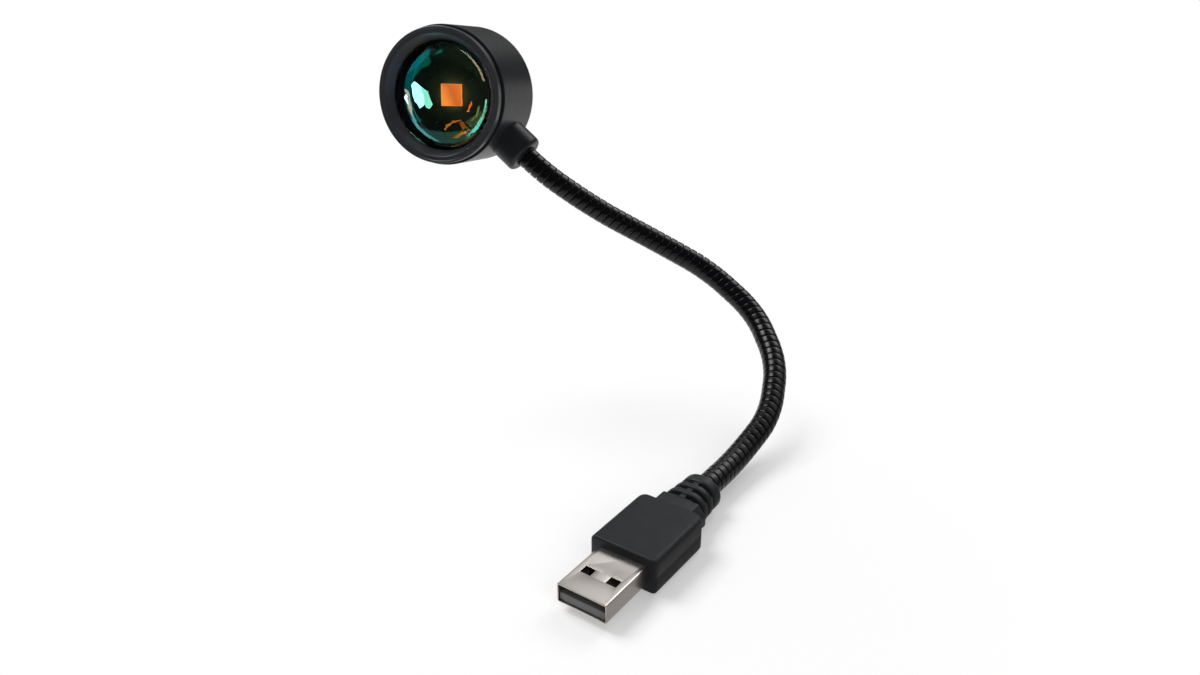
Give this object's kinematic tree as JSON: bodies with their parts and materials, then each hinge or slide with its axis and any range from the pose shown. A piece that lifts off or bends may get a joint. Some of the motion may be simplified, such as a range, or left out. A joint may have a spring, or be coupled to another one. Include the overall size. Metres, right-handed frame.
{
  "type": "sunset projection lamp",
  "caption": "Small round projection head with a domed coated lens, on a flexible wound neck that stands out of a ribbed strain relief and a USB-A plug.",
  "frame": {"origin": "middle of the plug housing's front face, where the metal shell leaves it", "axes": "-Y is the way the plug goes into its port, +X runs across its width, +Z is square to its wide upper face, on the side away from the tongue"},
  "size_m": [0.1239, 0.1087, 0.0971],
  "materials": {
    "shell": "nickel plated sheet, satin",
    "insulator": "matte",
    "contacts": "gold plated, polished",
    "mould": "matte",
    "housing": "fine spark-eroded grain",
    "relief": "matte, soft",
    "leads": "satin insulation over copper",
    "neck_inner": "oiled",
    "neck_band": "gloss black",
    "head": "dark satin anodised",
    "bush": "matte",
    "bezel": "dark satin anodised, bright chamfers",
    "lens": "polished, coated",
    "tube": "matte",
    "sink": "bare turned",
    "board": "black solder mask",
    "emitter": "clear resin over the chip",
    "resistor": "glazed",
    "screws": "black oxide"
  },
  "bodies": {
    "plug": {"usb_shell": "shell", "usb_insulator": "insulator", "usb_contacts": "contacts", "inner_mould": "mould", "plug_housing": "housing", "strain_relief": "relief", "plug_leads": "leads", "neck_core_1": "neck_inner", "neck_coil_1": "neck_band", "neck_leads_1": "leads"},
    "neck_2": {"neck_core_2": "neck_inner", "neck_coil_2": "neck_band", "neck_leads_2": "leads"},
    "neck_3": {"neck_core_3": "neck_inner", "neck_coil_3": "neck_band", "neck_leads_3": "leads"},
    "neck_4": {"neck_core_4": "neck_inner", "neck_coil_4": "neck_band", "neck_leads_4": "leads"},
    "neck_5": {"neck_core_5": "neck_inner", "neck_coil_5": "neck_band", "neck_leads_5": "leads"},
    "neck_6": {"neck_core_6": "neck_inner", "neck_coil_6": "neck_band", "neck_leads_6": "leads"},
    "neck_7": {"neck_core_7": "neck_inner", "neck_coil_7": "neck_band", "neck_leads_7": "leads"},
    "head": {"neck_core_8": "neck_inner", "neck_coil_8": "neck_band", "neck_leads_8": "leads", "neck_socket": "head", "neck_bush": "bush", "head_body": "head", "bezel_ring": "bezel", "lens": "lens", "spacer_tube": "tube", "heat_sink": "sink", "led_board": "board", "led_emitter": "emitter", "led_resistor": "resistor", "board_screws": "screws", "head_leads": "leads"}
  },
  "joints": [
    {"name": "bend_1_lift", "type": "hinge", "parent": "plug", "child": "neck_2", "pos_m": [0.00022, 0.05484, 0.0018], "axis": [0.9995, -0.0326, 0], "range_deg": [-45, 25]},
    {"name": "bend_2_swing", "type": "hinge", "parent": "neck_2", "child": "neck_3", "pos_m": [-0.0019, 0.07116, 0.00724], "axis": [0.1448, -0.3551, 0.9235], "range_deg": [-45, 15]},
    {"name": "bend_3_lift", "type": "hinge", "parent": "neck_3", "child": "neck_4", "pos_m": [-0.01049, 0.08446, 0.01428], "axis": [0.6506, 0.7595, 0], "range_deg": [-32, 22]},
    {"name": "bend_4_swing", "type": "hinge", "parent": "neck_4", "child": "neck_5", "pos_m": [-0.02416, 0.0911, 0.02228], "axis": [0.4887, -0.0222, 0.8721], "range_deg": [-45, 9]},
    {"name": "bend_5_lift", "type": "hinge", "parent": "neck_5", "child": "neck_6", "pos_m": [-0.03889, 0.08846, 0.03091], "axis": [-0.4921, 0.8705, 0], "range_deg": [-34, 38]},
    {"name": "bend_6_swing", "type": "hinge", "parent": "neck_6", "child": "neck_7", "pos_m": [-0.05193, 0.0804, 0.03934], "axis": [0.3982, 0.2804, 0.8734], "range_deg": [-40, 38]},
    {"name": "bend_7_lift", "type": "hinge", "parent": "neck_7", "child": "head", "pos_m": [-0.06438, 0.0721, 0.04839], "axis": [-0.5199, 0.8543, 0], "range_deg": [-42, 33]}
  ]
}
